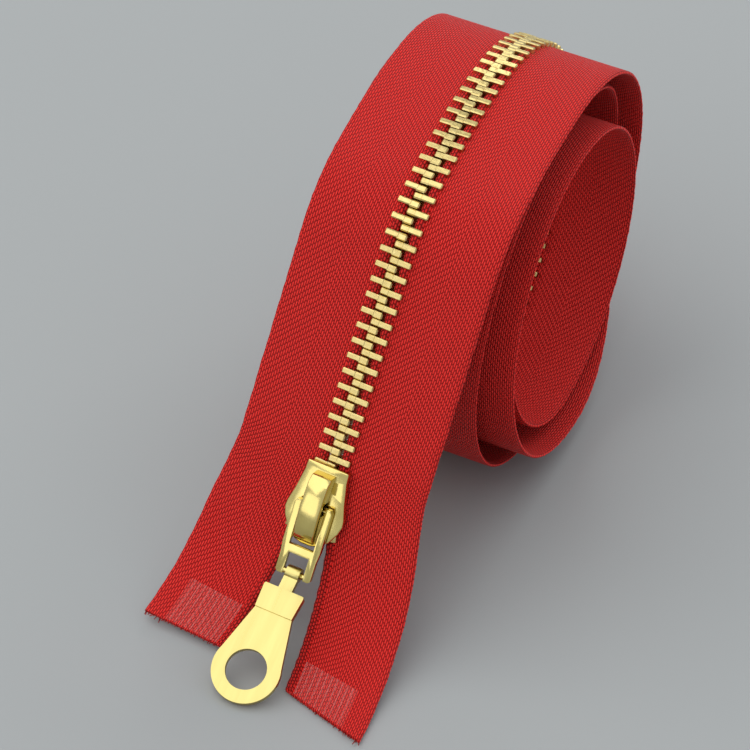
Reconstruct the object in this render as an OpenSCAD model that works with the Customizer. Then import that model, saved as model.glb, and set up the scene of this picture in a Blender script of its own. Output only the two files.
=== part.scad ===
// Open-end metal zipper, closed and rolled up from its bottom end, with an auto-lock
// slider at the top stops and a ring pull hanging from its link.
// The two tape halves, their bead cords and the teeth follow one long curve:
// a flat foot, a steep straight ramp, a crest, then three turns wound inwards.

/* [Tape] */
// Width over both halves of the closed tape
tape_w = 32; // [26:0.5:38]
// Thickness of the woven tape
tape_t = 0.6; // [0.4:0.05:0.9]
// Distance from the centre line to the inner edge of a half
edge_x = 1.2; // [0.9:0.05:1.5]
// Distance from the centre line to the bead cord's axis
cord_x = 1.85; // [1.7:0.05:2.1]
// Radius of the bead cord
cord_r = 0.8; // [0.6:0.05:0.9]

/* [Teeth] */
// Spacing of the teeth along one half
pitch = 2.54; // [2.4:0.01:3.2]
// Thickness of a tooth along the chain
tooth_t = 1.05; // [0.8:0.05:1.15]
// Height of a tooth across the tape
tooth_h = 2.3; // [2.2:0.05:2.6]

/* [Roll] */
// Height of the tape's middle over the floor at the top of the roll
coil_h = 68; // [60:1:86]
// Drop from the outer turn's top to the second turn's top
gap_2 = 3; // [2.8:0.1:5]
// Drop from the second turn's top to the third turn's top
gap_3 = 6; // [2.8:0.1:7]
// Rise of the tape from one turn's bottom to the next
base_gap = 3.05; // [2.8:0.05:4]

/* [Front] */
// Length of the right tape end below the slider's narrow end
end_l = 42.6; // [38:0.1:52]
// How much shorter the left tape end reaches
left_short = 7.6; // [0:0.1:9]
// Slant of the right end's cut from its outer to its inner edge
right_slant = 5.6; // [0:0.1:7]
// Slant of the left end's cut
left_slant = 1; // [0:0.1:7]
// Slope of the ramp in degrees
ramp_a = 61.5; // [56:0.5:72]
// Length of the flat foot at the tape ends
foot_l = 2.5; // [2:0.5:8]
// Length of the bend between foot and ramp
foot_bend = 26; // [20:0.5:30]
// Sideways lean of the ramp per millimetre
lean = 0.05; // [0:0.01:0.12]
// Sideways run of each half inside the slider per millimetre
throat_run = 0.17; // [0.15:0.01:0.24]
// Sideways run of each half at the tape ends per millimetre
end_run = 0.12; // [0.05:0.01:0.14]

/* [Slider] */
// Length of the slider plates
slider_l = 13.1; // [12:0.1:15]
// Width over the shoulders
slider_w = 9.9; // [9.5:0.1:12]
// Thickness of a plate
plate_t = 0.8; // [0.6:0.05:1.2]
// Height of the crown over the upper plate
crown_h = 3.1; // [3:0.1:3.6]
// Width of the crown
crown_w = 3.3; // [2.9:0.1:3.6]

/* [Pull] */
// Distance from the link bar to the centre of the hole
pull_l = 17; // [14:0.1:20]
// Radius of the round end
pull_r = 5.5; // [4.8:0.1:6]
// Radius of the hole
hole_r = 3.3; // [2.5:0.1:3.8]
// Thickness of the tab
pull_t = 1; // [0.8:0.05:1.4]
// Angle of the hanging tab to the floor in degrees
pull_a = 28; // [22:1:34]

/* [Hidden] */

brass = [0.86, 0.68, 0.30];
gold = [0.93, 0.76, 0.36];
red = [0.78, 0.10, 0.09];
dark_red = [0.62, 0.07, 0.07];
clear = [0.93, 0.72, 0.70];
steel = [0.74, 0.74, 0.72];

// Film over the tape ends: thickness, length along the tape, and where it lies across
film_t = 0.12;
bond = 0.02;
film_l = 8;
film_in = cord_x + cord_r + 0.1;
film_out = film_in + 9.6;

// The curve: pieces of [length, turn in degrees], from the tape ends to the hidden end
tip_z = tape_t / 2 + film_t + 0.08;
base_z = tooth_h / 2 + 0.15;
shoulder_l = 14.2;
shoulder_a = 45;
crest_l = 21.4;
crest_a = ramp_a - shoulder_a;
foot_r = foot_bend * 180 / (PI * ramp_a);
shoulder_r = shoulder_l * 180 / (PI * shoulder_a);
crest_r = crest_l * 180 / (PI * crest_a);
bend_rise = foot_r * (1 - cos(ramp_a)) + shoulder_r * (cos(crest_a) - cos(ramp_a))
    + crest_r * (1 - cos(crest_a));
ramp_l = (coil_h - tip_z - bend_rise) / sin(ramp_a);
tops = [coil_h, coil_h - gap_2, coil_h - gap_2 - gap_3];
bases = [base_z, base_z + base_gap, base_z + 2 * base_gap];
end_r = 19;
end_turn = 77;
end_flat = 16;

function half_turn(high, low) = [PI * (high - low) / 2, -180];

path = [
    [foot_l, 0],
    [foot_bend, ramp_a],
    [ramp_l, 0],
    [shoulder_l, -shoulder_a],
    [crest_l, -crest_a],
    half_turn(tops[0], bases[0]),
    half_turn(tops[1], bases[0]),
    half_turn(tops[1], bases[1]),
    half_turn(tops[2], bases[1]),
    half_turn(tops[2], bases[2]),
    [PI * end_r * end_turn / 180, -end_turn],
    [end_flat, 0]
];

// Where a piece [length, turn] leads from a state [y, z, heading]
function run(p, seg) = seg[1] == 0
    ? [p[0] + seg[0] * cos(p[2]), p[1] + seg[0] * sin(p[2]), p[2]]
    : let (r = seg[0] * 180 / (PI * seg[1]), a = p[2] + seg[1])
        [p[0] + r * (sin(a) - sin(p[2])), p[1] - r * (cos(a) - cos(p[2])), a];
function start(i) = i == 0
    ? [-end_l, [0, tip_z, 0]]
    : let (q = start(i - 1)) [q[0] + path[i - 1][0], run(q[1], path[i - 1])];
starts = [for (i = [0:len(path) - 1]) start(i)];
function piece(s) = max([for (i = [0:len(path) - 1]) if (i == 0 || starts[i][0] <= s) i]);
// State of the tape's middle at the distance s from the slider's narrow end
function at(s) = let (i = piece(s), d = s - starts[i][0])
    run(starts[i][1], [d, path[i][1] * d / path[i][0]]);

ramp_end = starts[3][0];
crest_end = starts[5][0];
turn_1 = starts[6][0];
top_2 = starts[7][0];
turn_2 = starts[8][0];
front_2 = (top_2 + turn_2) / 2;
top_3 = starts[9][0];
turn_3 = starts[10][0];
chain_end = starts[11][0] + end_flat;
split = 18;

function clamp(v, low, high) = min(max(v, low), high);
function ease(a, b, t) = a + (b - a) * (1 - cos(180 * clamp(t, 0, 1))) / 2;

// Sideways wander of the roll: the turns do not lie square over each other
stray_x = 4.4;
wander = [[crest_end, 0], [turn_1, -1.8], [top_2, -1.5], [front_2, -4],
    [turn_2, stray_x], [top_3, 1], [turn_3, 2], [chain_end, -1]];
function stray(s, i = 0) = s <= wander[i][0] ? wander[i][1]
    : i == len(wander) - 1 ? wander[i][1]
    : s > wander[i + 1][0] ? stray(s, i + 1)
    : ease(wander[i][1], wander[i + 1][1],
        (s - wander[i][0]) / (wander[i + 1][0] - wander[i][0]));
lean_l = 20;
function drift(s) = s > crest_end ? stray(s)
    : -lean * (pow(clamp(ramp_end + lean_l - s, 0, lean_l), 2) / (2 * lean_l)
        + max(0, ramp_end - s));

// How far each half stands out from the chain's centre line, growing inside the slider
open_s = 2;
open_l = 9;
close_s = -11;
function spread(s) = throat_run * (pow(clamp(open_s - s, 0, open_l), 2) / (2 * open_l)
        + max(0, open_s - open_l - s))
    - (throat_run - end_run) * (pow(clamp(close_s - s, 0, open_l), 2) / (2 * open_l)
        + max(0, close_s - open_l - s));

function half_x(side, s) = drift(s) + side * spread(s);
function tip(side) = side > 0 ? -end_l : left_short - end_l;
function slant(side, s, u) = (side > 0 ? right_slant : left_slant)
    * clamp((s + 20) / (tip(side) + 20), 0, 1) * (tape_w / 2 - u) / (tape_w / 2 - edge_x);
function heading(side, s) = atan(half_x(side, s + 0.5) - half_x(side, s - 0.5));

// Where the slider's channel, its upper face and the link's two bars are, seen from the
// slider's narrow end: y up the chain, z out of the tape
slider_turn = atan(lean);
channel = tooth_h / 2 + 0.1;
deck = channel + plate_t;
bar_r = 0.5;
bar_y = -slider_l * 0.49;
bar_z = deck + bar_r + 0.42;
bridge_y = -slider_l - 0.2;
low_y = bridge_y - 4.5;

// The overall box, for putting the origin under the middle of the part
top_y = starts[5][1][0];
back_y = top_y + (tops[0] - bases[0]) / 2 + tooth_h / 2;
left_x = half_x(-1, tip(-1)) - tape_w / 2 * cos(heading(-1, tip(-1)));
roll_x = tape_w / 2 + stray_x;
hang = (low_y * cos(slider_turn)) * cos(ramp_a) - bar_z * sin(ramp_a);
pull_y = at(0)[0] + hang - pull_l * cos(pull_a) * cos(slider_turn)
    - pull_r * cos(pull_a) - pull_t / 2 * sin(pull_a);
front_y = min(pull_y, tape_w / 2 * abs(sin(heading(1, tip(1)))));
mid_x = (left_x + roll_x) / 2;
mid_y = (front_y + back_y) / 2;

// A place on the tape's curved surface: x across, s along, v out of the surface
function place(x, s, v) = let (q = at(s))
    [x - mid_x, q[0] - v * sin(q[2]) - mid_y, q[1] + v * cos(q[2])];
// The same, from the offset u across one half, square to the direction of that half
function on_half(side, s, u, v) = let (a = heading(side, s))
    place(half_x(side, s) + side * u * cos(a), s - side * u * sin(a) + slant(side, s, u), v);

// Stations along the tape between two distances, closer together where it bends
function stations(a, b, step) = let (n = max(1, ceil((b - a) / step)))
    [for (i = [0:n]) a + (b - a) * i / n];
function ring_quads(n, m) = [for (i = [0:n - 2], j = [0:m - 1], k = [0, 1])
    let (a = i * m + j, b = i * m + (j + 1) % m)
        k == 0 ? [a, b, b + m] : [a, b + m, a + m]];
function flip(f, on) = on ? [for (t = f) [t[2], t[1], t[0]]] : f;

// A solid swept along one half: ring = list of [u, v]
module sweep(side, line, ring) {
    m = len(ring);
    n = len(line);
    points = [for (s = line, p = ring) on_half(side, s, p[0], p[1])];
    caps = [for (j = [1:m - 2]) [0, j + 1, j],
        for (j = [1:m - 2]) [(n - 1) * m, (n - 1) * m + j, (n - 1) * m + j + 1]];
    polyhedron(points, flip([each ring_quads(n, m), each caps], side > 0), convexity = 8);
}

module tape(side, a, b, step) {
    ring = [[edge_x, -tape_t / 2], [tape_w / 2, -tape_t / 2],
        [tape_w / 2, tape_t / 2], [edge_x, tape_t / 2]];
    color(red) sweep(side, stations(a, b, step), ring);
}

module cord(side, a, b, step) {
    ring = [for (i = [0:7]) [cord_x + cord_r * cos(45 * i), cord_r * sin(45 * i)]];
    color(dark_red) sweep(side, stations(a, b, step), ring);
}

// Reinforcing film: one ply on each face of the tape
module film(side, a, b, step, inner) {
    color(clear)
        for (v = [tape_t / 2 - bond, -tape_t / 2 + bond - film_t])
            sweep(side, stations(a, b, step),
                [[inner, v], [film_out, v], [film_out, v + film_t], [inner, v + film_t]]);
}

// Stand at the middle of one half's chain, square to it
module at_half(side, s) {
    translate(place(half_x(side, s), s, 0))
        rotate([at(s)[2], 0, 0])
            rotate([0, 0, -heading(side, s)])
                children();
}

// The crimped legs: a slot lets the tape through, a wider pocket holds the cord
slot_h = tape_t / 2 + 0.05;
pocket_h = cord_r - 0.02;
leg_x = cord_x + cord_r + 0.2;
function legs(side) = [
    [side * leg_x, -slot_h], [side * (cord_x + 0.5), -pocket_h],
    [side * (cord_x - 0.42), -pocket_h], [side * (cord_x - cord_r - 0.05), 0],
    [side * (cord_x - 0.42), pocket_h], [side * (cord_x + 0.5), pocket_h],
    [side * leg_x, slot_h]];
function backs(side, nose, tall) = [
    [side * leg_x, tall], [side * 0.9, tall], [side * nose, 0.5],
    [side * nose, -0.5], [side * 0.9, -tall], [side * leg_x, -tall]];

// One tooth: crimped legs and the interlocking head that reaches past the centre
module tooth(side) {
    rotate([90, 0, 0])
        linear_extrude(height = tooth_t, center = true)
            polygon(concat(legs(side), backs(side, -0.8, tooth_h / 2)));
}

module teeth(side, a, b) {
    first = ceil(a / pitch - (side > 0 ? 0.5 : 0));
    last = floor(b / pitch - (side > 0 ? 0.5 : 0));
    color(brass)
        for (k = [first:last])
            at_half(side, (k + (side > 0 ? 0.5 : 0)) * pitch)
                tooth(side);
}

// A length of formed metal crimped over the cord: stops and pins
module crimp(side, s, length, nose, tall) {
    at_half(side, s)
        rotate([90, 0, 0])
            linear_extrude(height = length, center = true)
                polygon(concat(legs(side), [
                    [side * leg_x, tall], [side * (nose + 0.3), tall], [side * nose, tall - 0.3],
                    [side * nose, 0.3 - tall], [side * (nose + 0.3), -tall],
                    [side * leg_x, -tall]]));
}

// ---- the two swinging halves below the split ----

step_front = 2;
teeth_top = -8;
module left_tape_front() { tape(-1, tip(-1), split, step_front); }
module right_tape_front() { tape(1, tip(1), split, step_front); }
module left_cord_front() { cord(-1, tip(-1) + 0.4, split, 2.4); }
module right_cord_front() { cord(1, tip(1) + 0.4, split, 2.4); }
module left_teeth_front() { teeth(-1, teeth_top, split - tooth_t); }
module right_teeth_front() { teeth(1, teeth_top, split - tooth_t); }
stop_s = -10.5;
stop_l = 2.8;
module left_top_stop() { color(brass) crimp(-1, stop_s, stop_l, 0.7, tooth_h / 2); }
module right_top_stop() { color(brass) crimp(1, stop_s, stop_l, 0.7, tooth_h / 2); }
module left_film() { film(-1, tip(-1) + 0.2, tip(-1) + film_l, 1.6, film_in); }
module right_film() { film(1, tip(1) + 0.2, tip(1) + film_l, 1.6, film_in); }

// ---- the roll ----

seam = 0.05;
step_coil = 5.2;
module left_tape_outer() { tape(-1, split + seam, turn_1, 4.2); }
module left_tape_second() { tape(-1, turn_1 + seam, turn_2, step_coil); }
module left_tape_third() { tape(-1, turn_2 + seam, turn_3, step_coil * 0.9); }
module left_tape_inner() { tape(-1, turn_3 + seam, chain_end, step_coil * 0.75); }
module right_tape_outer() { tape(1, split + seam, turn_1, 4.2); }
module right_tape_second() { tape(1, turn_1 + seam, turn_2, step_coil); }
module right_tape_third() { tape(1, turn_2 + seam, turn_3, step_coil * 0.9); }
module right_tape_inner() { tape(1, turn_3 + seam, chain_end, step_coil * 0.75); }
module left_cord() { cord(-1, split + seam, chain_end - 0.4, 4.5); }
module right_cord() { cord(1, split + seam, chain_end - 0.4, 4.5); }
pin_l = 14;
teeth_end = chain_end - pin_l - 2.4;
base_l = 9;
module left_teeth_outer() { teeth(-1, split - tooth_t + 0.01, turn_1 - base_l); }
module left_teeth_base() { teeth(-1, turn_1 - base_l + 0.01, turn_1 + base_l); }
module left_teeth_second() { teeth(-1, turn_1 + base_l + 0.01, turn_2); }
module left_teeth_third() { teeth(-1, turn_2 + 0.01, turn_3); }
module left_teeth_inner() { teeth(-1, turn_3 + 0.01, teeth_end); }
module right_teeth_outer() { teeth(1, split - tooth_t + 0.01, turn_1 - base_l); }
module right_teeth_base() { teeth(1, turn_1 - base_l + 0.01, turn_1 + base_l); }
module right_teeth_second() { teeth(1, turn_1 + base_l + 0.01, turn_2); }
module right_teeth_third() { teeth(1, turn_2 + 0.01, turn_3); }
module right_teeth_inner() { teeth(1, turn_3 + 0.01, teeth_end); }

// The bottom end: two pins side by side in a retaining box, and film on both halves
pin_s = chain_end - 1 - pin_l / 2;
pin_h = tooth_h / 2 - 0.05;
box_l = 6.2;
box_wall = 0.35;
box_in = leg_x + 0.06;
module retaining_pin() { color(brass) crimp(-1, pin_s, pin_l, 0.12, pin_h); }
module insertion_pin() { color(brass) crimp(1, pin_s, pin_l, 0.12, pin_h); }
module retaining_box() {
    color(gold)
        translate(place(drift(chain_end), chain_end, 0))
            rotate([at(chain_end)[2], 0, 0])
                difference() {
                    translate([0, 0.6 - box_l / 2, 0])
                        cube([2 * (box_in + box_wall), box_l, 2 * (pin_h + box_wall + 0.06)],
                            center = true);
                    translate([0, 0.15 - box_l / 2, 0])
                        cube([2 * box_in, box_l, 2 * (pin_h + 0.06)], center = true);
                    translate([0, 0.15 - box_l / 2, 0])
                        cube([2 * box_in + 4, box_l, 2 * slot_h], center = true);
                }
}
module left_end_film() { film(-1, chain_end - 13, chain_end - 0.2, 3.2, box_in + box_wall + 0.1); }
module right_end_film() { film(1, chain_end - 13, chain_end - 0.2, 3.2, box_in + box_wall + 0.1); }

// ---- the slider: local x across, y up the chain, z out of the tape ----

module in_slider() {
    translate(place(drift(0), 0, 0))
        rotate([ramp_a, 0, 0])
            rotate([0, 0, -slider_turn])
                children();
}

neck_x = leg_x + 0.62;
shoulder_x = slider_w / 2;
wide_y = -slider_l * 0.63;
function plate_half(in) = [
    [neck_x - in, 0.2 + (in > 0 ? 1 : 0)], [neck_x + 0.08 - in, -slider_l * 0.11],
    [(neck_x + shoulder_x) / 2 + 0.02 - in, -slider_l * 0.38],
    [shoulder_x - 0.12 - in, -slider_l * 0.55], [shoulder_x - in, wide_y]];
function mirror_list(a) = [for (i = [len(a) - 1:-1:0]) [-a[i][0], a[i][1]]];
mouth = [[shoulder_x - 0.35, -slider_l * 0.73], [shoulder_x - 1.35, -slider_l * 0.87],
    [shoulder_x - 2.9, -slider_l * 0.97], [0.8, -slider_l]];

module plate(z) {
    translate([0, 0, z])
        linear_extrude(height = plate_t)
            polygon(concat(plate_half(0), mouth, mirror_list(concat(plate_half(0), mouth))));
}

flange_t = 0.5;
tape_slot = tape_t / 2 + 0.12;
module flanges(z) {
    translate([0, 0, z])
        linear_extrude(height = channel - tape_slot + 0.1)
            for (side = [0, 1])
                mirror([side, 0])
                    polygon([each plate_half(0),
                        each [for (i = [len(plate_half(0)) - 1:-1:0])
                            [plate_half(flange_t)[i][0], plate_half(0)[i][1]]]]);
}

pawl_x = 0.72;
pawl_y = -pitch;
module slider_body() {
    color(gold)
        in_slider()
            union() {
                difference() {
                    plate(channel);
                    translate([pawl_x - 0.12, pawl_y - 0.45, channel - 1])
                        cube([0.7, 0.9, plate_t + 2]);
                }
                plate(-channel - plate_t);
                flanges(tape_slot);
                flanges(-channel - 0.1);
                // divider between the two mouths
                translate([0, 0, -channel - 0.1])
                    linear_extrude(height = 2 * channel + 0.2)
                        polygon([[0, -slider_l * 0.68], [0.62, -slider_l * 0.79],
                            [0.85, -slider_l * 0.9], [0.75, -slider_l * 0.97],
                            [-0.75, -slider_l * 0.97], [-0.85, -slider_l * 0.9],
                            [-0.62, -slider_l * 0.79]]);
            }
}

// The crown: a hollow cap standing on the upper plate, notched for the link's bar
crown_wall = 0.4;
module side_prism(width, outline) {
    rotate([90, 0, 90])
        linear_extrude(height = width, center = true)
            polygon(outline);
}
module crown() {
    top = deck + crown_h;
    ends = slider_l;
    color(gold)
        in_slider()
            difference() {
                side_prism(crown_w, [[-0.07 * ends, deck], [-0.09 * ends, top - 1.3],
                    [-0.17 * ends, top - 0.35], [-0.32 * ends, top - 0.05],
                    [-0.5 * ends, top], [-0.72 * ends, top - 0.2], [-0.85 * ends, top - 0.7],
                    [-0.93 * ends, top - 1.7], [-0.95 * ends, deck]]);
                side_prism(crown_w - 2 * crown_wall, [[-0.15 * ends, deck - 1],
                    [-0.15 * ends, top - 1.5], [-0.21 * ends, top - 0.9],
                    [-0.5 * ends, top - 0.7], [-0.8 * ends, top - 0.95],
                    [-0.87 * ends, top - 1.8], [-0.87 * ends, deck - 1]]);
                translate([-crown_w, bar_y - 1.1, deck - 1])
                    cube([2 * crown_w, 2.2, 1 + 2 * bar_r + 0.84]);
            }
}

// The lock: a bent pawl that passes over the link's bar, its foot dropping between two
// teeth through a hole in the upper plate, and the leaf spring that presses it down
pawl_t = 0.25;
pawl_top = bar_z + bar_r + 0.06;
module lock_pawl() {
    low = deck + 0.03;
    color(steel)
        in_slider()
            union() {
                side_prism(1.7, [[bar_y - 4.2, low], [bar_y - 3, low],
                    [bar_y - 1.5, pawl_top], [bar_y + 1.3, pawl_top],
                    [pawl_y - 0.7, low], [pawl_y + 0.5, low],
                    [pawl_y + 0.5, low + pawl_t], [pawl_y - 0.55, low + pawl_t],
                    [bar_y + 1.4, pawl_top + pawl_t], [bar_y - 1.6, pawl_top + pawl_t],
                    [bar_y - 3.1, low + pawl_t], [bar_y - 4.2, low + pawl_t]]);
                translate([pawl_x, pawl_y - 0.3, channel - 0.33])
                    cube([0.46, 0.6, plate_t + 0.33 + 0.03 + pawl_t]);
            }
}
module lock_spring() {
    top = deck + crown_h;
    color(steel)
        in_slider()
            side_prism(1.7, [[-0.2 * slider_l, top - 0.92], [-0.5 * slider_l, top - 0.78],
                [-0.79 * slider_l, top - 0.92], [-0.79 * slider_l, top - 1.1],
                [-0.5 * slider_l, top - 0.96], [-0.2 * slider_l, top - 1.1]]);
}

// The link: a flat frame round the crown, with a small window for the pull
link_t = 1;
link_in = crown_w / 2 + 0.45;
link_w = 1.1;
module link() {
    reach = link_in + link_w;
    low_x = 3;
    window = 1.75;
    color(gold)
        in_slider()
            translate([0, 0, bar_z])
                union() {
                    difference() {
                        translate([0, 0, -link_t / 2])
                            linear_extrude(height = link_t)
                                polygon([[reach - 0.35, bar_y + 0.5], [reach, bar_y - 0.2],
                                    [reach, bridge_y + 0.2], [low_x, bridge_y - 1.6],
                                    [low_x, low_y - 0.2], [low_x - 0.4, low_y - 0.5],
                                    [0.4 - low_x, low_y - 0.5], [-low_x, low_y - 0.2],
                                    [-low_x, bridge_y - 1.6], [-reach, bridge_y + 0.2],
                                    [-reach, bar_y - 0.2], [0.35 - reach, bar_y + 0.5]]);
                        translate([-link_in, bridge_y, -link_t])
                            cube([2 * link_in, bar_y + 2 - bridge_y, 2 * link_t]);
                        translate([-window, low_y - 2, -link_t])
                            cube([2 * window, bridge_y - 1.3 - low_y + 2, 2 * link_t]);
                    }
                    translate([0, bar_y, 0])
                        rotate([0, 90, 0])
                            cylinder(r = bar_r, h = 2 * link_in + 1, center = true, $fn = 40);
                    translate([0, low_y, 0])
                        rotate([0, 90, 0])
                            cylinder(r = bar_r, h = 2 * window + 1, center = true, $fn = 40);
                }
}

// The pull: a folded neck round the link's lower bar, a raised block, a tab with a hole
eye_r = 1.14;
neck_w = 2.3;
module pull() {
    color(gold)
        in_slider()
            translate([0, low_y, bar_z])
                rotate([pull_a - ramp_a, 0, 0])
                    difference() {
                        union() {
                            rotate([0, 90, 0])
                                cylinder(r = eye_r, h = neck_w, center = true, $fn = 48);
                            translate([-neck_w / 2, -4, -0.6])
                                cube([neck_w, 4, 1.2]);
                            translate([0, 0, -pull_t / 2])
                                linear_extrude(height = pull_t)
                                    polygon([[3.25, -3.1], [3.4, -3.4], [3.15, -7.2],
                                        [pull_r * 0.93, -pull_l + pull_r * 0.37],
                                        [-pull_r * 0.93, -pull_l + pull_r * 0.37],
                                        [-3.15, -7.2], [-3.4, -3.4], [-3.25, -3.1]]);
                            translate([0, 0, -pull_t / 2])
                                linear_extrude(height = pull_t + 0.35)
                                    polygon([[3.25, -3.1], [3.4, -3.4], [3.15, -7.2],
                                        [-3.15, -7.2], [-3.4, -3.4], [-3.25, -3.1]]);
                            translate([0, -pull_l, 0])
                                cylinder(r = pull_r, h = pull_t, center = true, $fn = 96);
                        }
                        rotate([0, 90, 0])
                            cylinder(r = bar_r + 0.08, h = neck_w + 2, center = true,
                                $fn = 40);
                        translate([0, -pull_l, 0])
                            cylinder(r = hole_r, h = 4, center = true, $fn = 72);
                    }
}

left_tape_front();
left_cord_front();
left_teeth_front();
left_top_stop();
left_film();
right_tape_front();
right_cord_front();
right_teeth_front();
right_top_stop();
right_film();
left_tape_outer();
left_tape_second();
left_tape_third();
left_tape_inner();
right_tape_outer();
right_tape_second();
right_tape_third();
right_tape_inner();
left_cord();
right_cord();
left_teeth_outer();
left_teeth_base();
left_teeth_second();
left_teeth_third();
left_teeth_inner();
right_teeth_outer();
right_teeth_base();
right_teeth_second();
right_teeth_third();
right_teeth_inner();
retaining_box();
retaining_pin();
insertion_pin();
left_end_film();
right_end_film();
slider_body();
crown();
lock_spring();
lock_pawl();
link();
pull();
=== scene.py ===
import math
import random

import bpy
import numpy as np
from mathutils import Matrix, Vector


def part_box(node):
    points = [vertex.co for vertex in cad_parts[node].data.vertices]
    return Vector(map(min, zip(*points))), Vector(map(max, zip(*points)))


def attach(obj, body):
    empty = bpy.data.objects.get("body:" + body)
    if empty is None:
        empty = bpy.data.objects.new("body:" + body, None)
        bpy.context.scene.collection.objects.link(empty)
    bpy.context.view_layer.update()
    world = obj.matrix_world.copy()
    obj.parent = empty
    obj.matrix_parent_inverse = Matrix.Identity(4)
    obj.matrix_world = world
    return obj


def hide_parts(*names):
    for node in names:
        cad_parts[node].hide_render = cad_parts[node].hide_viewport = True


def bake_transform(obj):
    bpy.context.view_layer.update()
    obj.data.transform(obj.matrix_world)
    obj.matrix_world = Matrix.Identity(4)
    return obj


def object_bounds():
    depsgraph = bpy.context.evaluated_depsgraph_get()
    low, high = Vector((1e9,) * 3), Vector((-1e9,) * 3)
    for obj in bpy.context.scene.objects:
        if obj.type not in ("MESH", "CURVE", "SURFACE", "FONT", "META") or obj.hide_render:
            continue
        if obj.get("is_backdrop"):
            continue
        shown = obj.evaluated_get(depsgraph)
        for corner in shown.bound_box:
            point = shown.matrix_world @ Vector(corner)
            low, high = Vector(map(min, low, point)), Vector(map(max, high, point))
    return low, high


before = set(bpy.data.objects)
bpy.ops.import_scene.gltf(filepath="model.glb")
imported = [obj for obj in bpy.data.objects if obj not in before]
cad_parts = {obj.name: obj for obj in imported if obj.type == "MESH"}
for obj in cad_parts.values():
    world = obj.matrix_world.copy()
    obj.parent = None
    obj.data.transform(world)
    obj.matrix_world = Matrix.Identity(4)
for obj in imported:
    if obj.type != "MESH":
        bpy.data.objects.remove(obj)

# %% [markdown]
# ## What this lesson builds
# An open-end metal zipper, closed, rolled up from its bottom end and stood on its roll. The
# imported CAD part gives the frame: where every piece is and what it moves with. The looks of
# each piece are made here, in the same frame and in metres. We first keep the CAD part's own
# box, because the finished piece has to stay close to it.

CAD_LOW, CAD_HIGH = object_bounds()
MM = 0.001
random.seed(7)
print("CAD box in mm:", [round(v / MM, 2) for v in (*CAD_LOW, *CAD_HIGH)])

# %% [markdown]
# ## The one long curve
# Everything on the tape follows one curve in the YZ plane: a short foot on the floor, a bend
# up, a straight ramp, a crest, then three turns wound inwards. It is simplest to write it as
# pieces of length and turn, because cloth keeps its length: each turn's radius then follows
# from how far the tape has climbed.

# %% The curve, in millimetres and degrees
TAPE_HALF = 16.0
TAPE_T = 0.6
EDGE = 1.2
CORD_X = 1.85
CORD_R = 0.8
PITCH = 2.54
RAMP_A = 61.5
END_L = 42.6
LEFT_SHORT = 7.6
FOOT = (2.5, 26.0)
SHOULDER, SHOULDER_A = 14.2, 45.0
CREST = 21.4
TOPS = (68.0, 65.0, 59.0)
BASE, BASE_GAP = 1.3, 3.05
FILM_T = 0.12
TIP_Z = TAPE_T / 2 + FILM_T + 0.08
TOOTH_H = 2.3
END_ARC, END_TURN, END_FLAT = 19.0, 77.0, 16.0


def cosd(a):
    return math.cos(math.radians(a))


def sind(a):
    return math.sin(math.radians(a))


def arc_radius(length, turn):
    return math.degrees(length / turn)


crest_a = RAMP_A - SHOULDER_A
rise = (
    arc_radius(FOOT[1], RAMP_A) * (1 - cosd(RAMP_A))
    + arc_radius(SHOULDER, SHOULDER_A) * (cosd(crest_a) - cosd(RAMP_A))
    + arc_radius(CREST, crest_a) * (1 - cosd(crest_a))
)
path = [
    (FOOT[0], 0),
    (FOOT[1], RAMP_A),
    ((TOPS[0] - TIP_Z - rise) / sind(RAMP_A), 0),
    (SHOULDER, -SHOULDER_A),
    (CREST, -crest_a),
]
for high, low in ((0, 0), (1, 0), (1, 1), (2, 1), (2, 2)):
    path.append((math.pi * (TOPS[high] - BASE - low * BASE_GAP) / 2, -180))
path += [(math.pi * END_ARC * END_TURN / 180, -END_TURN), (END_FLAT, 0)]


def run(state, length, turn):
    y, z, a = state
    if turn == 0:
        return (y + length * cosd(a), z + length * sind(a), a)
    r, b = arc_radius(length, turn), a + turn
    return (y + r * (sind(b) - sind(a)), z - r * (cosd(b) - cosd(a)), b)


starts = [(-END_L, (0.0, TIP_Z, 0.0))]
for length, turn in path:
    starts.append((starts[-1][0] + length, run(starts[-1][1], length, turn)))
ramp_end, crest_end = starts[3][0], starts[5][0]
turn_1, top_2, turn_2, top_3, turn_3 = (starts[i][0] for i in range(6, 11))
CHAIN_END = starts[12][0]
print("tape length over the curve:", round(CHAIN_END + END_L, 1), "mm")


def at(s):
    i = max(0, sum(1 for q in starts[1:-1] if q[0] <= s))
    length, turn = path[i]
    d = s - starts[i][0]
    return run(starts[i][1], d, turn * d / length)


# %% [markdown]
# ## How the halves lie across the curve
# The turns of a hand-wound roll do not lie square over each other, and below the slider the
# two halves run apart. Three small functions say this: `drift` moves the chain sideways,
# `spread` opens the halves, and `slant` cuts the ends at an angle.

# %% Across the curve
LEAN, LEAN_L = 0.05, 20.0
THROAT, END_RUN = 0.17, 0.12
THROAT_TOP, THROAT_LOW, EASE_L = 2.0, -11.0, 9.0
WANDER = (
    (crest_end, 0.0), (turn_1, -1.8), (top_2, -1.5), ((top_2 + turn_2) / 2, -4.0),
    (turn_2, 4.4), (top_3, 1.0), (turn_3, 2.0), (CHAIN_END, -1.0),
)
SLANT = {1: 5.6, -1: 1.0}
SLANT_FROM = -20.0


def clamp(v, low, high):
    return min(max(v, low), high)


def drift(s):
    if s <= crest_end:
        bend = clamp(ramp_end + LEAN_L - s, 0, LEAN_L) ** 2 / (2 * LEAN_L)
        return -LEAN * (bend + max(0, ramp_end - s))
    for (s0, x0), (s1, x1) in zip(WANDER, WANDER[1:]):
        if s <= s1:
            return x0 + (x1 - x0) * (1 - cosd(180 * (s - s0) / (s1 - s0))) / 2
    return WANDER[-1][1]


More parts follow.
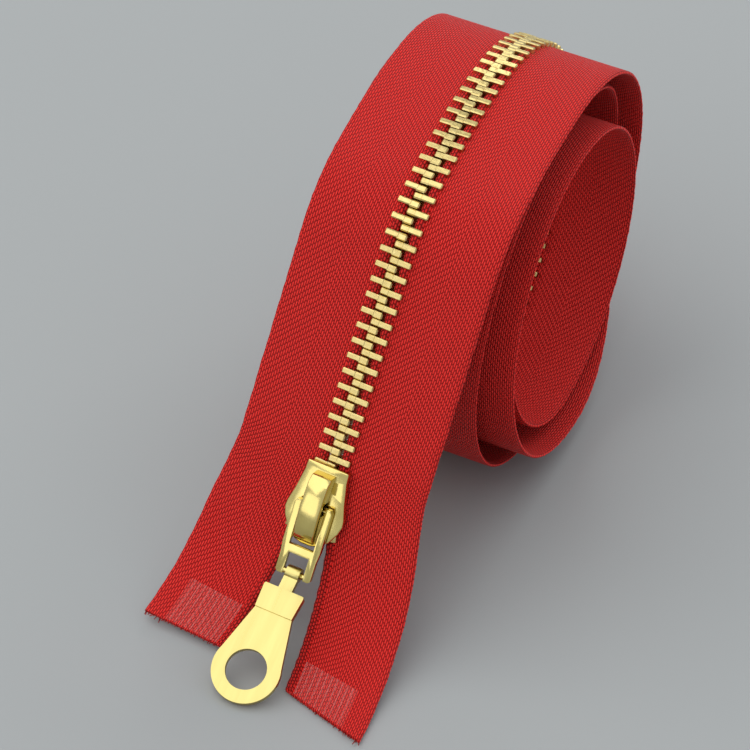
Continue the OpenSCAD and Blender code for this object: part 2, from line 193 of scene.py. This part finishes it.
def opening(s, top):
    return clamp(top - s, 0, EASE_L) ** 2 / (2 * EASE_L) + max(0, top - EASE_L - s)


def half_x(side, s):
    spread = THROAT * opening(s, THROAT_TOP) - (THROAT - END_RUN) * opening(s, THROAT_LOW)
    return drift(s) + side * spread


def tip(side):
    return -END_L if side > 0 else LEFT_SHORT - END_L


def heading(side, s):
    return math.degrees(math.atan(half_x(side, s + 0.5) - half_x(side, s - 0.5)))


def slant(side, s, u):
    along = clamp((s - SLANT_FROM) / (tip(side) - SLANT_FROM), 0, 1)
    return SLANT[side] * along * (TAPE_HALF - u) / (TAPE_HALF - EDGE)


cad_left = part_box("left_tape_front")[0].x / MM
shift_x = cad_left - (half_x(-1, tip(-1)) - TAPE_HALF * cosd(heading(-1, tip(-1))))
back_y = starts[5][1][0] + (TOPS[0] - BASE) / 2 + TOOTH_H / 2
shift_y = CAD_HIGH.y / MM - back_y


def place(x, s, v):
    y, z, a = at(s)
    return Vector((x + shift_x, y - v * sind(a) + shift_y, z + v * cosd(a))) * MM


def on_half(side, s, u, v):
    a = heading(side, s)
    along = s - side * u * sind(a) + slant(side, s, u)
    return place(half_x(side, s) + side * u * cosd(a), along, v)


print("curve shifted by", round(shift_x, 3), round(shift_y, 3), "mm to meet the CAD part")

# %% [markdown]
# ## Helpers for making a piece
# `tube` makes a grid with Blender's own primitive and lays it round a cross-section along
# the curve; the seam is merged and the two ends are filled, so the piece is closed. Its UV
# map is in millimetres of flat cloth, which is what the weave needs.

# %% Helpers
def select_only(o):
    bpy.ops.object.select_all(action="DESELECT")
    o.select_set(True)
    bpy.context.view_layer.objects.active = o


def smooth(o, angle=35):
    select_only(o)
    bpy.ops.object.shade_smooth_by_angle(angle=math.radians(angle))


def clean(o, holes=True, flat=False):
    select_only(o)
    bpy.ops.object.mode_set(mode="EDIT")
    bpy.ops.mesh.select_all(action="SELECT")
    bpy.ops.mesh.remove_doubles(threshold=2e-6)
    if flat:
        bpy.ops.mesh.dissolve_limited(angle_limit=math.radians(0.8))
    if holes:
        bpy.ops.mesh.fill_holes(sides=0)
    bpy.ops.mesh.select_all(action="SELECT")
    bpy.ops.mesh.normals_make_consistent(inside=False)
    bpy.ops.object.mode_set(mode="OBJECT")


def stations(a, b, step):
    n = max(1, math.ceil((b - a) / step))
    return [a + (b - a) * i / n for i in range(n + 1)]


def tube(name, side, line, ring, material, shape=None):
    nx, ny = len(ring), len(line) - 1
    bpy.ops.object.select_all(action="DESELECT")
    bpy.ops.mesh.primitive_grid_add(x_subdivisions=nx, y_subdivisions=ny, size=1)
    o = bpy.context.object
    o.name = name
    flat = []
    for v in o.data.vertices:
        i, j = round((v.co.x + 0.5) * nx), round((v.co.y + 0.5) * ny)
        u, h = ring[i % nx]
        if shape:
            u, h = shape(line[j], u, h)
        flat.append((u, line[j]))
        v.co = on_half(side, line[j], u, h)
    for loop, uv in zip(o.data.loops, o.data.uv_layers.active.data):
        uv.uv = flat[loop.vertex_index]
    clean(o)
    o.data.materials.append(material)
    smooth(o, 50)
    return o


# %% [markdown]
# ## Woven polyester
# Zipper tape is a narrow herringbone twill. Each warp yarn shows as a row of short floats
# about 1 mm long, every row about a third of a float behind its neighbour, and the step turns
# round every few millimetres, which draws the chevrons. The pattern is worked out from the
# flat UV millimetres, so it follows the cloth round every turn.

# %% Node helpers and the weave
def new_material(name):
    m = bpy.data.materials.new(name)
    m.use_nodes = True
    return m, m.node_tree.nodes, m.node_tree.links, m.node_tree.nodes["Principled BSDF"]


def calc(nodes, links, op, a, b=None, c=None):
    n = nodes.new("ShaderNodeMath")
    n.operation = op
    for i, v in enumerate((a, b, c)):
        if v is None:
            continue
        if isinstance(v, (int, float)):
            n.inputs[i].default_value = v
        else:
            links.new(v, n.inputs[i])
    return n.outputs[0]


def ramp(nodes, links, value, low, high):
    n = nodes.new("ShaderNodeMix")
    n.data_type = "RGBA"
    links.new(value, n.inputs["Factor"])
    n.inputs["A"].default_value = (*low, 1)
    n.inputs["B"].default_value = (*high, 1)
    return n.outputs["Result"]


def bump(nodes, links, height, depth, shader, strength=1.0):
    n = nodes.new("ShaderNodeBump")
    n.inputs["Distance"].default_value = depth
    n.inputs["Strength"].default_value = strength
    links.new(height, n.inputs["Height"])
    links.new(n.outputs["Normal"], shader.inputs["Normal"])


STEP_PER_COLUMN = 0.36
FIRST_COLUMN = 12.0
WOBBLE_SCALE, WOBBLE = 0.7, 0.35
FIBRE_SCALE, FIBRE = 9.0, 0.25


def woven(name, gap_shade, yarn, column=0.36, float_l=1.05, zone=18, depth=0.0003):
    m, nodes, links, shader = new_material(name)
    uv = nodes.new("ShaderNodeTexCoord").outputs["UV"]
    split = nodes.new("ShaderNodeSeparateXYZ")
    links.new(uv, split.inputs[0])
    u = calc(nodes, links, "DIVIDE", split.outputs["X"], column)
    row = calc(nodes, links, "FLOOR", u)
    turned = calc(
        nodes, links, "PINGPONG", calc(nodes, links, "ADD", row, FIRST_COLUMN), float(zone)
    )
    s = calc(nodes, links, "DIVIDE", split.outputs["Y"], float_l)
    phase = calc(nodes, links, "MULTIPLY_ADD", turned, STEP_PER_COLUMN, s)
    wobble = nodes.new("ShaderNodeTexNoise")
    wobble.inputs["Scale"].default_value = WOBBLE_SCALE
    links.new(uv, wobble.inputs["Vector"])
    phase = calc(nodes, links, "MULTIPLY_ADD", wobble.outputs["Fac"], WOBBLE, phase)
    fy = calc(nodes, links, "FRACT", phase)
    fx = calc(nodes, links, "FRACT", u)
    side = calc(nodes, links, "ABSOLUTE", calc(nodes, links, "MULTIPLY_ADD", fx, 2.0, -1.0))
    end = calc(nodes, links, "ABSOLUTE", calc(nodes, links, "MULTIPLY_ADD", fy, 2.0, -1.0))
    round_x = calc(nodes, links, "SUBTRACT", 1.0, calc(nodes, links, "POWER", side, 2.5))
    round_y = calc(nodes, links, "SUBTRACT", 1.0, calc(nodes, links, "POWER", end, 3.0))
    height = calc(nodes, links, "MULTIPLY", round_x, round_y)
    fibre = nodes.new("ShaderNodeTexNoise")
    fibre.inputs["Scale"].default_value = FIBRE_SCALE
    fibre.inputs["Detail"].default_value = 3.0
    links.new(uv, fibre.inputs["Vector"])
    height = calc(nodes, links, "MULTIPLY_ADD", fibre.outputs["Fac"], FIBRE, height)
    # Painted shade: the colour follows the height, from the yarn red on the float crowns down to
    # the gap colour between the floats and at their ends; the fibre noise in the height adds random
    # tone.
    weave_shade = calc(nodes, links, "POWER", calc(nodes, links, "MINIMUM", height, 1.0), 1.3)
    links.new(ramp(nodes, links, weave_shade, gap_shade, yarn), shader.inputs["Base Color"])
    shader.inputs["Roughness"].default_value = 0.55
    shader.inputs["Specular IOR Level"].default_value = 0.22
    bump(nodes, links, height, depth, shader)
    return m


# In each weave the first colour is painted shade for the gaps between the floats, and the second is
# the yarn's own red.
tape_cloth = woven("tape_cloth", (0.36, 0.005, 0.005), (0.93, 0.032, 0.024))
cord_cloth = woven(
    "cord_cloth", (0.16, 0.003, 0.003), (0.78, 0.022, 0.016), column=0.45, float_l=0.85, zone=2
)
print("woven materials:", tape_cloth.name, cord_cloth.name)

# %% [markdown]
# ## The two tape halves
# Each half is one strip of cloth 14.8 mm wide with a rounded outer edge. Where the slider
# has run, the halves part as it moves, and cloth bends there rather than hinging. So each
# half has two pieces: a front piece between the swinging end and the roll, and a long piece
# that stays with the roll. They meet at SEAM, past the bend.

# %% Tape
BEND_LOW, BEND_HIGH = -2.0, 18.0
SEAM = 22.0
across = [EDGE + 0.1 + (TAPE_HALF - 0.3 - EDGE) * i / 12 for i in range(13)]
tape_ring = [(u, TAPE_T / 2) for u in across]
tape_ring += [(TAPE_HALF - 0.06, 0.17), (TAPE_HALF, 0.0), (TAPE_HALF - 0.06, -0.17)]
tape_ring += [(u, -TAPE_T / 2) for u in reversed(across)]
tape_ring += [(EDGE, 0.0)]


def rough_edge(s, u, h):
    if u > TAPE_HALF - 0.15:
        u += 0.05 * math.sin(s * 12.9) * math.sin(s * 3.1)
    return u, h


SIDES = ((-1, "left"), (1, "right"))
tapes = {}
for side, word in SIDES:
    front = tube(
        f"{word}_front_cloth", side, stations(tip(side), SEAM, 0.7), tape_ring, tape_cloth,
        rough_edge,
    )
    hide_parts(f"{word}_tape_front")
    rolled = tube(
        f"{word}_rolled_cloth", side, stations(SEAM, CHAIN_END, 0.9), tape_ring, tape_cloth,
        rough_edge,
    )
    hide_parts(*(f"{word}_tape_{t}" for t in ("outer", "second", "third", "inner")))
    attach(rolled, "roll")
    tapes[side] = (front, rolled)
    print(word, "tape:", len(front.data.polygons), "and", len(rolled.data.polygons), "faces")

# %% [markdown]
# ## Bead cords
# The teeth are clamped on a cord at the inner edge of each half. It is squeezed under every
# tooth and swells between them, so its section grows and shrinks once per tooth.

# %% Cords
CORD_SIDES = 10
CORD_NIP, CORD_SWELL = 0.90, 0.14
cord_ring = [
    (cosd(360 * i / CORD_SIDES), sind(360 * i / CORD_SIDES)) for i in range(CORD_SIDES)
]


def cord_shape(side):
    late = 0.5 if side > 0 else 0.0

    def shape(s, cx, cy):
        swell = 0.5 - 0.5 * math.cos(2 * math.pi * (s / PITCH - late))
        r = CORD_R * (CORD_NIP + CORD_SWELL * swell)
        return CORD_X + r * cx, r * cy

    return shape


cords = {}
for side, word in SIDES:
    pieces = []
    for part, a, b in (("front", tip(side) + 0.3, SEAM), ("rolled", SEAM, CHAIN_END - 0.4)):
        o = tube(
            f"{word}_{part}_cord", side, stations(a, b, 0.6), cord_ring, cord_cloth,
            cord_shape(side),
        )
        pieces.append(o)
    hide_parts(f"{word}_cord_front")
    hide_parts(f"{word}_cord")
    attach(pieces[1], "roll")
    cords[side] = pieces
print("cords swell", PITCH, "mm apart")

# %% [markdown]
# ## Metals
# The teeth are stamped brass with a fine grain; the slider is polished and plated, so it
# mirrors the room with only a slight ripple; the pull is brushed along its length.

# %% Metal materials
def metal(name, dark, light, rough, grain, scale, depth, stretch=(1, 1, 1)):
    m, nodes, links, shader = new_material(name)
    coords = nodes.new("ShaderNodeTexCoord").outputs["Object"]
    fit = nodes.new("ShaderNodeMapping")
    fit.inputs["Scale"].default_value = stretch
    links.new(coords, fit.inputs["Vector"])
    noise = nodes.new("ShaderNodeTexNoise")
    noise.inputs["Scale"].default_value = scale
    noise.inputs["Detail"].default_value = 4.0
    links.new(fit.outputs["Vector"], noise.inputs["Vector"])
    fac = noise.outputs["Fac"]
    links.new(ramp(nodes, links, fac, dark, light), shader.inputs["Base Color"])
    shader.inputs["Metallic"].default_value = 1.0
    links.new(calc(nodes, links, "MULTIPLY_ADD", fac, grain, rough), shader.inputs["Roughness"])
    bump(nodes, links, fac, depth, shader)
    return m


tooth_brass = metal(
    "tooth_brass", (0.46, 0.33, 0.10), (0.88, 0.72, 0.32), 0.20, 0.22, 1500, 0.00006
)
slider_gold = metal(
    "slider_gold", (0.56, 0.43, 0.13), (0.82, 0.69, 0.26), 0.06, 0.12, 260, 0.00003
)
pull_gold = metal(
    "pull_gold", (0.54, 0.44, 0.15), (0.72, 0.61, 0.23), 0.22, 0.16, 900, 0.00003,
    (1, 0.08, 0.08),
)
spring_steel = metal(
    "spring_steel", (0.42, 0.42, 0.41), (0.72, 0.72, 0.70), 0.22, 0.2, 800, 0.00002
)

# %% [markdown]
# ## One tooth, then two rows
# A tooth is a clamped leg and a head that hooks past the centre line. We model each kind of
# tooth once from two bevelled boxes, and keep it to a few dozen faces because the zipper has
# 450 of them. The left teeth are club-shaped; the right ones are even bars.

# %% The two teeth
LEG_START, LEG_END = 0.5, 2.85
HEAD_START, HEAD_END = -0.8, 0.95
HEAD_INSET = 0.06
LEG_BEVEL, HEAD_BEVEL = 0.16, 0.2


def box_piece(low, high, bevel):
    size = [h - l for l, h in zip(low, high)]
    middle = [(l + h) / 2 for l, h in zip(low, high)]
    bpy.ops.object.select_all(action="DESELECT")
    bpy.ops.mesh.primitive_cube_add(size=1, location=middle)
    o = bpy.context.object
    o.scale = size
    bpy.ops.object.transform_apply(location=True, rotation=False, scale=True)
    cut = o.modifiers.new("edges", "BEVEL")
    cut.width = bevel
    cut.segments = 1
    bpy.ops.object.modifier_apply(modifier=cut.name)
    return o


def tooth(name, leg_t, head_t, offset):
    half = TOOTH_H / 2
    leg = box_piece((LEG_START, -leg_t / 2, -half), (LEG_END, leg_t / 2, half), LEG_BEVEL)
    head = box_piece(
        (HEAD_START, offset - head_t / 2, -half + HEAD_INSET),
        (HEAD_END, offset + head_t / 2, half - HEAD_INSET),
        HEAD_BEVEL,
    )
    select_only(leg)
    head.select_set(True)
    bpy.ops.object.join()
    leg.name = name
    return leg


masters = {-1: tooth("club_tooth", 0.92, 1.12, -0.08), 1: tooth("bar_tooth", 0.98, 1.0, 0.0)}
print("faces in a tooth:", len(masters[-1].data.polygons))

# %% [markdown]
# The rows are copies of that one mesh, each set square to its half at the teeth's pitch. A
# tooth is rigid metal, so it is turned and moved but never bent. Their heads on the two
# halves alternate, half a pitch apart.

# %% The rows of teeth
def tooth_frame(side, s):
    a, tilt = heading(side, s), at(s)[2]
    turn = Matrix.Rotation(math.radians(tilt), 3, "X") @ Matrix.Rotation(math.radians(-a), 3, "Z")
    return turn, place(half_x(side, s), s, 0)


def tooth_row(name, side, a, b):
    mesh = masters[side].data
    local = np.array([v.co[:] for v in mesh.vertices])
    local[:, 0] *= side
    faces = [tuple(p.vertices) for p in mesh.polygons]
    if side < 0:
        faces = [f[::-1] for f in faces]
    late = 0.5 if side > 0 else 0.0
    numbers = range(math.ceil(a / PITCH - late), math.floor(b / PITCH - late) + 1)
    points, polygons = [], []
    for k in numbers:
        turn, middle = tooth_frame(side, (k + late) * PITCH)
        first = len(points)
        points += [tuple(turn @ Vector(p) * MM + middle) for p in local]
        polygons += [tuple(i + first for i in f) for f in faces]
    data = bpy.data.meshes.new(name)
    data.from_pydata(points, [], polygons)
    o = bpy.data.objects.new(name, data)
    bpy.context.scene.collection.objects.link(o)
    data.materials.append(tooth_brass)
    smooth(o, 30)
    print(name, len(numbers), "teeth")
    return o


TEETH_TOP = -8.0
FRONT_TEETH = BEND_HIGH - 1.05
PIN_L, PIN_GAP = 14.0, 2.4
rows = {}
for side, word in SIDES:
    front = tooth_row(f"{word}_front_row", side, TEETH_TOP, FRONT_TEETH)
    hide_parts(f"{word}_teeth_front")
    rolled = tooth_row(f"{word}_rolled_row", side, FRONT_TEETH + 0.01, CHAIN_END - PIN_L - PIN_GAP)
    groups = ("outer", "base", "second", "third", "inner")
    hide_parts(*(f"{word}_teeth_{g}" for g in groups))
    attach(rolled, "roll")
    rows[side] = (front, rolled)
for o in masters.values():
    bpy.data.objects.remove(o)

# %% [markdown]
# ## Film over the tape ends
# Clear film is heat-fused on both faces of each end so that it does not fray. It is thin,
# glossy, and shows fine lengthwise lines where the warp yarns were pressed flat.

# %% Film
FILM_IN = CORD_X + CORD_R + 0.1
FILM_OUT = FILM_IN + 9.6
TIP_FILM_L, FAR_FILM_L = 8.0, 13.0
FAR_FILM_IN = 3.36
FILM_GAP = 0.02
LINE_STEP, LINE_SHARE = 0.95, 0.22


def film_material():
    m, nodes, links, shader = new_material("fused_film")
    uv = nodes.new("ShaderNodeTexCoord").outputs["UV"]
    split = nodes.new("ShaderNodeSeparateXYZ")
    links.new(uv, split.inputs[0])
    wave = calc(nodes, links, "FRACT", calc(nodes, links, "DIVIDE", split.outputs["X"], LINE_STEP))
    line = calc(nodes, links, "LESS_THAN", wave, LINE_SHARE)
    noise = nodes.new("ShaderNodeTexNoise")
    noise.inputs["Scale"].default_value = 1.2
    links.new(uv, noise.inputs["Vector"])
    alpha = calc(nodes, links, "MULTIPLY", noise.outputs["Fac"], line)
    alpha = calc(nodes, links, "MULTIPLY_ADD", alpha, 0.30, 0.05)
    shader.inputs["Base Color"].default_value = (0.85, 0.23, 0.20, 1)
    shader.inputs["Roughness"].default_value = 0.16
    links.new(alpha, shader.inputs["Alpha"])
    bump(nodes, links, line, 0.00003, shader)
    return m


fused_film = film_material()


def film_piece(name, side, a, b, inner, outer, body):
    plies = []
    for v in (TAPE_T / 2 + FILM_GAP, -TAPE_T / 2 - FILM_GAP - FILM_T):
        ring = [(inner + (outer - inner) * i / 8, v + FILM_T) for i in range(9)]
        ring += [(inner + (outer - inner) * i / 8, v) for i in reversed(range(9))]
        plies.append(tube(name, side, stations(a, b, 0.8), ring, fused_film))
    select_only(plies[0])
    plies[1].select_set(True)
    bpy.ops.object.join()
    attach(plies[0], body)
    return plies[0]


for side, word in SIDES:
    end = film_piece(
        f"{word}_tip_film", side, tip(side) + 0.2, tip(side) + TIP_FILM_L, FILM_IN, FILM_OUT,
        f"{word}_end",
    )
    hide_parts(f"{word}_film")
    far = film_piece(
        f"{word}_far_film", side, CHAIN_END - FAR_FILM_L, CHAIN_END - 0.2, FAR_FILM_IN,
        FILM_OUT + 0.4, "roll",
    )
    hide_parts(f"{word}_end_film")
print("films on both ends")

# %% [markdown]
# ## Frayed yarns
# Beyond the film the cut weave lets go of a few yarn ends, most of them at the outer
# corner. Each is a thin rod pointing roughly along the tape.

# %% Frayed yarns
YARN_R = 0.07
YARNS = 34


def yarn(side, u, length, turn):
    start = on_half(side, tip(side) + 0.4, u, 0.05)
    ahead = on_half(side, tip(side), u, 0.05)
    outward = on_half(side, tip(side) + 0.4, u + 1, 0.05) - start
    way = (ahead - start).normalized() + outward.normalized() * turn
    way.z = max(way.z, -0.05)
    way.normalize()
    bpy.ops.object.select_all(action="DESELECT")
    bpy.ops.mesh.primitive_cylinder_add(
        vertices=6, radius=YARN_R * MM, depth=length * MM,
        location=start + way * length * MM / 2,
        rotation=way.to_track_quat("Z", "Y").to_euler(),
    )
    return bpy.context.object


for side, word in SIDES:
    ends = []
    for i in range(YARNS):
        u = TAPE_HALF - 0.2 - 14.0 * (i / YARNS) ** 1.4
        near = 1.0 if u > 11.5 else 0.45
        ends.append(yarn(side, u, 0.5 + near * random.uniform(0.2, 1.1), random.uniform(-0.5, 0.6)))
    select_only(ends[0])
    for o in ends[1:]:
        o.select_set(True)
    bpy.ops.object.join()
    fringe = ends[0]
    fringe.name = f"{word}_frayed_yarns"
    bpy.ops.object.transform_apply(location=True, rotation=True, scale=True)
    fringe.data.materials.append(cord_cloth)
    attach(fringe, f"{word}_end")
print(YARNS, "yarn ends at each tip")

# %% [markdown]
# ## Stamped and cast metal pieces
# Slider, crown, link, pull, stops, pins and box already have their exact shape in the CAD
# part. Real ones are tumbled, so every edge is rounded: we merge a copy of the CAD mesh,
# round its edges with an applied Bevel, and smooth it by angle.

# %% Metal pieces
def from_cad(node, body, material, width, segments=2, angle=30):
    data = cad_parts[node].data.copy()
    o = bpy.data.objects.new(f"{node}_finished", data)
    bpy.context.scene.collection.objects.link(o)
    clean(o, holes=False, flat=True)
    edges = o.modifiers.new("rounding", "BEVEL")
    edges.width = width * MM
    edges.segments = segments
    edges.limit_method = "ANGLE"
    edges.angle_limit = math.radians(angle)
    bpy.ops.object.modifier_apply(modifier=edges.name)
    data.materials.clear()
    data.materials.append(material)
    smooth(o, 40)
    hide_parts(node)
    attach(o, body)
    print(o.name, len(data.polygons), "faces")
    return o


from_cad("slider_body", "slider", slider_gold, 0.22, 3)
from_cad("crown", "slider", slider_gold, 0.16, 3)
from_cad("lock_spring", "slider", spring_steel, 0.03, 1)
from_cad("lock_pawl", "pawl", spring_steel, 0.05, 1)
from_cad("link", "link", slider_gold, 0.16, 3)
from_cad("pull", "pull", pull_gold, 0.14, 3)
for side, word in SIDES:
    from_cad(f"{word}_top_stop", f"{word}_end", tooth_brass, 0.15)
from_cad("retaining_box", "roll", slider_gold, 0.12)
from_cad("retaining_pin", "roll", tooth_brass, 0.12)
from_cad("insertion_pin", "roll", tooth_brass, 0.12)

# %% [markdown]
# ## How the front pieces are kept
# The front pieces of tape, cord and teeth are not bent here: their transforms are only baked
# into the mesh. The bend would run from just above the slider to where the chain is always
# closed; its two end points are worked out but not used.

# %% Bend end points and baked front pieces
for side, word in SIDES:
    low, high = place(drift(BEND_LOW), BEND_LOW, 0), place(drift(BEND_HIGH), BEND_HIGH, 0)
    for o in (tapes[side][0], cords[side][0], rows[side][0]):
        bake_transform(o)
print("cloth strips:", round(CHAIN_END - tip(1), 1), "and", round(CHAIN_END - tip(-1), 1), "mm")

# %% [markdown]
# ## Floor, light and camera
# A plain pale floor carries the soft shadow. A large key light gives the broad gleam on the
# metal, a small fill and a back light lift the rest, and the camera looks down at the slider
# from its right with a long lens.

# %% Floor
def floor_material():
    m, nodes, links, shader = new_material("paper_floor")
    coords = nodes.new("ShaderNodeTexCoord").outputs["Object"]
    noise = nodes.new("ShaderNodeTexNoise")
    noise.inputs["Scale"].default_value = 3.0
    links.new(coords, noise.inputs["Vector"])
    tint = ramp(nodes, links, noise.outputs["Fac"], (0.350, 0.362, 0.355), (0.372, 0.384, 0.376))
    links.new(tint, shader.inputs["Base Color"])
    shader.inputs["Roughness"].default_value = 0.7
    shader.inputs["Specular IOR Level"].default_value = 0.2
    return m


bpy.ops.object.select_all(action="DESELECT")
bpy.ops.mesh.primitive_plane_add(size=3, location=(0, 0, -0.00004))
floor = bpy.context.object
floor.name = "floor"
floor.data.materials.append(floor_material())
floor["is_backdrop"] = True

# %% Light
world = bpy.data.worlds.new("soft_room")
bpy.context.scene.world = world
world.use_nodes = True
world.node_tree.nodes["Background"].inputs["Color"].default_value = (0.86, 0.90, 0.96, 1)
world.node_tree.nodes["Background"].inputs["Strength"].default_value = 0.70


def softbox(name, place_at, size, power, aim=(0, 0, 0.03), colour=(1, 1, 1)):
    data = bpy.data.lights.new(name, "AREA")
    data.shape = "RECTANGLE"
    data.size, data.size_y = size
    data.energy = power
    data.color = colour
    o = bpy.data.objects.new(name, data)
    bpy.context.scene.collection.objects.link(o)
    o.location = place_at
    o.rotation_euler = (Vector(aim) - Vector(place_at)).to_track_quat("-Z", "Y").to_euler()
    o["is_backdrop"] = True


softbox("key", (-0.32, -0.28, 0.74), (1.30, 1.10), 5.4)
softbox("fill", (-0.24, -0.80, 0.19), (0.34, 0.26), 0.30)
softbox("back", (0.1, 0.8, 0.55), (0.8, 0.35), 2.5)

# %% Camera
YAW, PITCH_DOWN, ROLL = 22.18, 42.58, 3.55
FOCAL_OVER_WIDTH = 5.537
EYE = Vector((177.73 + shift_x, -396.06 + shift_y, 470.41)) * MM
SENSOR = 36.0
ahead = Vector((-sind(YAW) * cosd(PITCH_DOWN), cosd(YAW) * cosd(PITCH_DOWN), -sind(PITCH_DOWN)))
right = Vector((cosd(YAW), sind(YAW), 0))
up = right.cross(ahead)
right, up = cosd(ROLL) * right + sind(ROLL) * up, cosd(ROLL) * up - sind(ROLL) * right
camera = bpy.data.objects.new("camera", bpy.data.cameras.new("camera"))
bpy.context.scene.collection.objects.link(camera)
camera.data.sensor_width = SENSOR
camera.data.lens = SENSOR * FOCAL_OVER_WIDTH
camera.data.clip_start = 0.01
turned = Matrix((right, up, -ahead)).transposed().to_4x4()
camera.matrix_world = Matrix.Translation(EYE) @ turned
bpy.context.scene.camera = camera
bpy.context.scene.view_settings.view_transform = "Standard"

# %% [markdown]
# ## Finish
# The finished box is printed here, to set beside the CAD box printed at the start.

# %% Sizes and the last line
low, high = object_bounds()
print("finished box in mm:", [round(v / MM, 2) for v in (*low, *high)])
